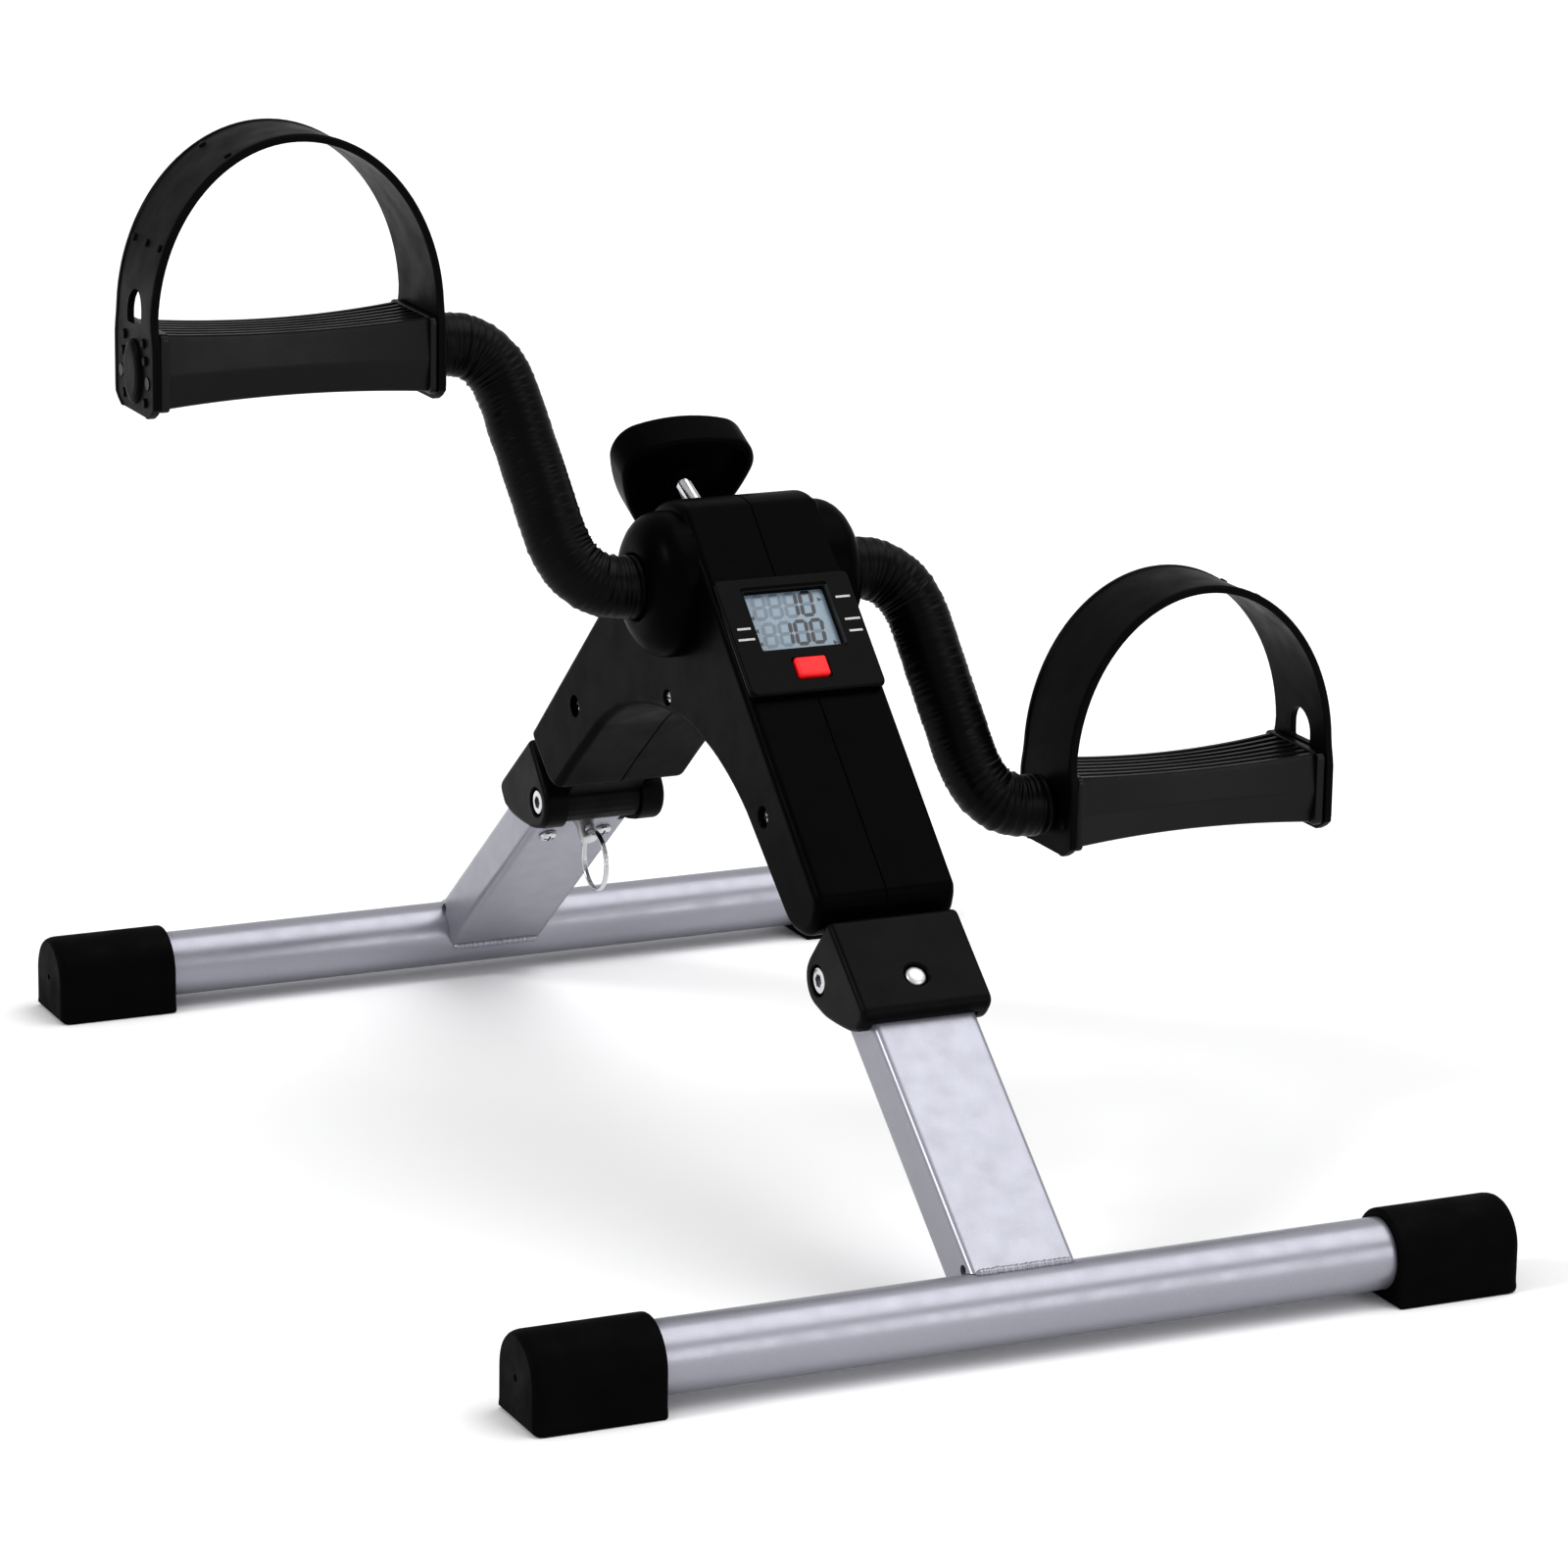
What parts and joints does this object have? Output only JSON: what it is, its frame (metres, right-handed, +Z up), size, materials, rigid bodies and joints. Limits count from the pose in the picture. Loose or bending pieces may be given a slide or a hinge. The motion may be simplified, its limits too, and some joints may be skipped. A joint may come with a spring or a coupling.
{
  "type": "folding pedal exerciser",
  "caption": "Folding mini pedal exerciser: two fold-in legs with foot tubes, bent crank with strapped pedals, tension knob and small display.",
  "frame": {"origin": "floor level under the middle of the base, midway between the foot tubes", "axes": "+Z up; X along the foot tubes and the crank axle, +X is the right-hand pedal; -Y is the side with the display, where the user sits"},
  "size_m": [0.4342, 0.5146, 0.381],
  "materials": {
    "abs_black": "fine satin texture",
    "rubber_black": "matte",
    "vinyl_black": "soft crinkled sleeve",
    "silver_paint": "satin silver paint",
    "steel": "bright zinc",
    "chrome": "polished",
    "bezel_black": "satin gloss",
    "lcd": "gloss",
    "board_green": "satin",
    "button_red": "gloss",
    "bush_nylon": "natural nylon",
    "brake_felt": "felt"
  },
  "bodies": {
    "housing": {"left_housing_shell": "abs_black", "right_housing_shell": "abs_black", "housing_screw_1": "chrome", "housing_screw_2": "chrome", "housing_screw_3": "chrome", "front_frame_bar": "steel", "rear_frame_bar": "steel", "left_axle_bush": "bush_nylon", "right_axle_bush": "bush_nylon", "display_bezel": "bezel_black", "lcd_glass": "lcd", "circuit_board": "board_green", "button_cell": "chrome", "tension_bracket": "steel"},
    "reset_key": {"reset_button": "button_red"},
    "brake_pad_carriage": {"brake_pad": "brake_felt"},
    "knob": {"tension_screw": "chrome", "tension_knob": "abs_black"},
    "crank": {"crank_axle": "steel", "left_crank_arm": "steel", "right_crank_arm": "steel", "left_crank_sleeve": "vinyl_black", "right_crank_sleeve": "vinyl_black", "left_spindle_nut": "steel", "right_spindle_nut": "steel"},
    "left_pedal": {"left_pedal_body": "abs_black", "left_strap": "rubber_black"},
    "right_pedal": {"right_pedal_body": "abs_black", "right_strap": "rubber_black"},
    "front_leg": {"front_leg_tube": "silver_paint", "front_foot_tube": "silver_paint", "front_left_cap": "rubber_black", "front_right_cap": "rubber_black", "front_hinge_cover": "abs_black", "front_hinge_bolt": "chrome", "front_hinge_nut": "chrome", "front_leg_screw_left": "chrome", "front_leg_screw_right": "chrome"},
    "front_pin": {"front_lock_pin": "chrome"},
    "front_ring": {"front_pull_ring": "chrome"},
    "rear_leg": {"rear_leg_tube": "silver_paint", "rear_foot_tube": "silver_paint", "rear_left_cap": "rubber_black", "rear_right_cap": "rubber_black", "rear_hinge_cover": "abs_black", "rear_hinge_bolt": "chrome", "rear_hinge_nut": "chrome", "rear_leg_screw_left": "chrome", "rear_leg_screw_right": "chrome"},
    "rear_pin": {"rear_lock_pin": "chrome"},
    "rear_ring": {"rear_pull_ring": "chrome"}
  },
  "joints": [
    {"name": "front_leg_fold", "type": "hinge", "parent": "housing", "child": "front_leg", "pos_m": [0, -0.1275, 0.0998], "axis": [1, 0, 0], "range_deg": [0, 92]},
    {"name": "rear_leg_fold", "type": "hinge", "parent": "housing", "child": "rear_leg", "pos_m": [0, 0.1275, 0.0998], "axis": [-1, 0, 0], "range_deg": [0, 82]},
    {"name": "crank_spin", "type": "hinge", "parent": "housing", "child": "crank", "pos_m": [0, -0.003, 0.2145], "axis": [1, 0, 0], "continuous": true},
    {"name": "left_pedal_spin", "type": "hinge", "parent": "crank", "child": "left_pedal", "pos_m": [0, 0.0375, 0.2995], "axis": [1, 0, 0], "continuous": true},
    {"name": "right_pedal_spin", "type": "hinge", "parent": "crank", "child": "right_pedal", "pos_m": [0, -0.0435, 0.1295], "axis": [1, 0, 0], "continuous": true},
    {"name": "brake_pad_slide", "type": "slide", "parent": "housing", "child": "brake_pad_carriage", "axis": [0, 0.9026, 0.4305], "range_m": [-0.0005, 0.002]},
    {"name": "knob_turn", "type": "hinge", "parent": "brake_pad_carriage", "child": "knob", "pos_m": [0, -0.003, 0.2145], "axis": [0, 0.9026, 0.4305], "range_deg": [-180, 720]},
    {"name": "reset_button_press", "type": "slide", "parent": "housing", "child": "reset_key", "axis": [0, 0.6884, -0.7254], "range_m": [0, 0.001], "stiffness_N_per_m": 200},
    {"name": "front_lock_pin_pull", "type": "slide", "parent": "front_leg", "child": "front_pin", "axis": [0, 0.6361, -0.7716], "range_m": [0, 0.012]},
    {"name": "front_pull_ring_swing", "type": "hinge", "parent": "front_pin", "child": "front_ring", "pos_m": [0, -0.13507, 0.0832], "axis": [0, -0.7716, -0.6361], "range_deg": [-40, 40]},
    {"name": "rear_lock_pin_pull", "type": "slide", "parent": "rear_leg", "child": "rear_pin", "axis": [0, -0.6361, -0.7716], "range_m": [0, 0.012]},
    {"name": "rear_pull_ring_swing", "type": "hinge", "parent": "rear_pin", "child": "rear_ring", "pos_m": [0, 0.13507, 0.0832], "axis": [0, 0.7716, -0.6361], "range_deg": [-40, 40]}
  ],
  "couplings": [
    {"joint": "knob_turn", "follows": "brake_pad_slide", "rad_per_m": 6283.2}
  ]
}
